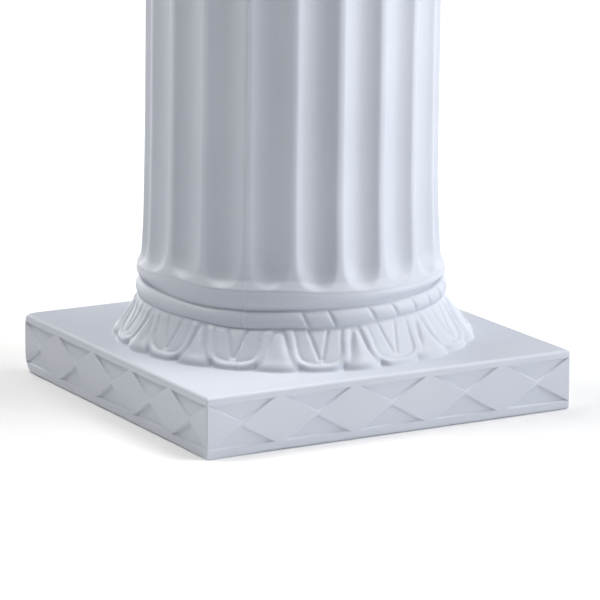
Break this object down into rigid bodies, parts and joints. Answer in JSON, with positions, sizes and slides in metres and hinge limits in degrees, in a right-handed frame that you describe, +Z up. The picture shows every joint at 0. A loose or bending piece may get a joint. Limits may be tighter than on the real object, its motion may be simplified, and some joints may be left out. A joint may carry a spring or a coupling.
{
  "type": "decorative column",
  "caption": "Freestanding moulded plastic column: a fluted shaft on a square plinth with a leaf ring and diamond relief, and a plain capital with a flat top for a vase or lamp.",
  "frame": {"origin": "centre of the plinth's underside, on the floor", "axes": "+Z up along the column, X and Y along the plinth's sides; the side that the picture shows widest faces -Y"},
  "size_m": [0.2604, 0.2604, 0.88],
  "materials": {
    "white_plastic": "satin, moulded, faintly cool white"
  },
  "bodies": {
    "root": {"column": "white_plastic"}
  },
  "joints": []
}
